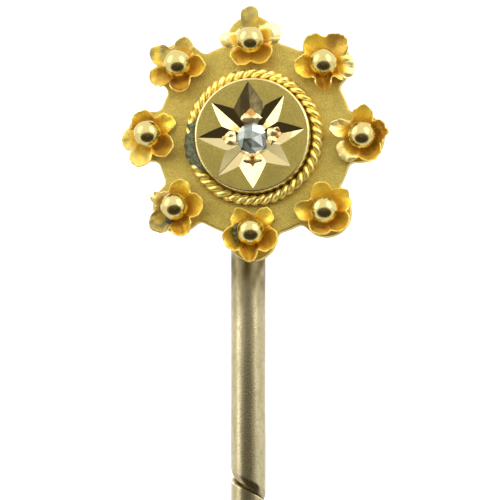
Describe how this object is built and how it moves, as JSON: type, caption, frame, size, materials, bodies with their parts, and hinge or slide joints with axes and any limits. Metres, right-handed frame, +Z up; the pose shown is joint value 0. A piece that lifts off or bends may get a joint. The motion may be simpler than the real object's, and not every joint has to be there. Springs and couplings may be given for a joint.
{
  "type": "stick pin",
  "caption": "Antique gold stick pin: a round flower-bordered head with a star-set stone on a long straight stem with an anti-slip spiral.",
  "frame": {"origin": "on the stem's axis, 7 mm below the head's centre, where the pin enters the cloth", "axes": "+Z up the stem's axis towards the head, -Y out of the head's face, +X to the right of someone looking at that face"},
  "size_m": [0.0088, 0.0034, 0.0543],
  "materials": {
    "matte_gold": "matte, finely grained (bloomed) yellow gold",
    "petal_gold": "worn thin sheet with reddish-brown tarnish",
    "bead_gold": "polished",
    "rope_gold": "bright twisted wire, dirt between the turns",
    "rim_gold": "polished thin rim",
    "satin_gold": "satin face with bright-cut rays",
    "stem_metal": "drawn wire, pale silvery with a yellow cast",
    "stone": "cut and polished clear stone"
  },
  "bodies": {
    "root": {"back_plate": "matte_gold", "boss_wall": "rim_gold", "star_plate": "satin_gold", "stone": "stone", "rope_strand_a": "rope_gold", "rope_strand_b": "rope_gold", "stem_foot": "stem_metal", "stem": "stem_metal", "flower_east": "petal_gold", "flower_north_east": "petal_gold", "flower_north": "petal_gold", "flower_north_west": "petal_gold", "flower_west": "petal_gold", "flower_south_west": "petal_gold", "flower_south": "petal_gold", "flower_south_east": "petal_gold", "bead_east": "bead_gold", "bead_north_east": "bead_gold", "bead_north": "bead_gold", "bead_north_west": "bead_gold", "bead_west": "bead_gold", "bead_south_west": "bead_gold", "bead_south": "bead_gold", "bead_south_east": "bead_gold"}
  },
  "joints": []
}
